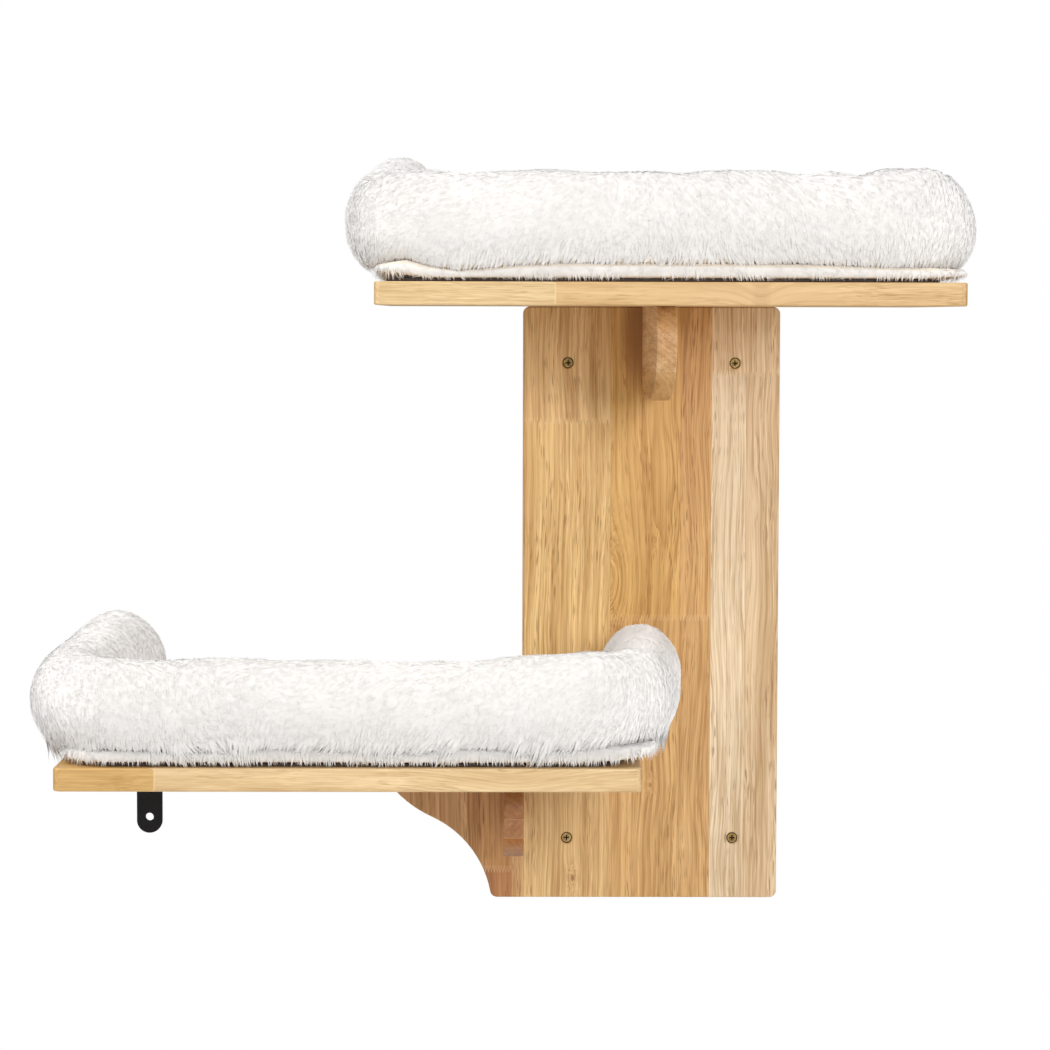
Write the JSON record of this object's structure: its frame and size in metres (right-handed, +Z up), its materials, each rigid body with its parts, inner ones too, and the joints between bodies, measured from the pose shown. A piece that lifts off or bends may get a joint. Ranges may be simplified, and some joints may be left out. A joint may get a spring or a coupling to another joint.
{
  "type": "wall-mounted cat perch",
  "caption": "Wall-mounted wooden cat perch: a backboard with a curved wing carries stepped shelves on gussets, each with a lift-off plush bolster bed.",
  "frame": {"origin": "centre of the four wall screws, on the wall plane, which is the backboard's back face", "axes": "+X to the viewer's right, +Y into the wall, +Z up; the shelves stand out towards -Y"},
  "size_m": [0.7585, 0.358, 0.6198],
  "materials": {
    "rubberwood": "satin",
    "dowel_wood": "matte",
    "black_steel": "satin",
    "bronzed_steel": "satin",
    "plated_steel": "satin",
    "plush": "matte",
    "filling": "matte",
    "base_cloth": "matte"
  },
  "bodies": {
    "frame": {"backboard": "rubberwood", "upper_shelf": "rubberwood", "lower_shelf": "rubberwood", "upper_gusset": "rubberwood", "lower_gusset": "rubberwood", "steel_angle": "black_steel", "wall_screws": "bronzed_steel", "upper_shelf_screws": "plated_steel", "lower_shelf_screws": "plated_steel", "upper_gusset_screws": "plated_steel", "lower_gusset_screws": "plated_steel", "steel_angle_screws": "black_steel", "upper_shelf_dowels": "dowel_wood", "lower_shelf_dowels": "dowel_wood"},
    "upper_bed": {"upper_bed_base_cloth": "base_cloth", "upper_bed_pad": "plush", "upper_bed_bolster": "plush", "upper_bed_filling": "filling"},
    "lower_bed": {"lower_bed_base_cloth": "base_cloth", "lower_bed_pad": "plush", "lower_bed_bolster": "plush", "lower_bed_filling": "filling"}
  },
  "joints": [
    {"name": "upper_bed_lift", "type": "slide", "parent": "frame", "child": "upper_bed", "axis": [0, 0, 1], "range_m": [0, 0.15]},
    {"name": "lower_bed_lift", "type": "slide", "parent": "frame", "child": "lower_bed", "axis": [0, 0, 1], "range_m": [0, 0.15]}
  ]
}
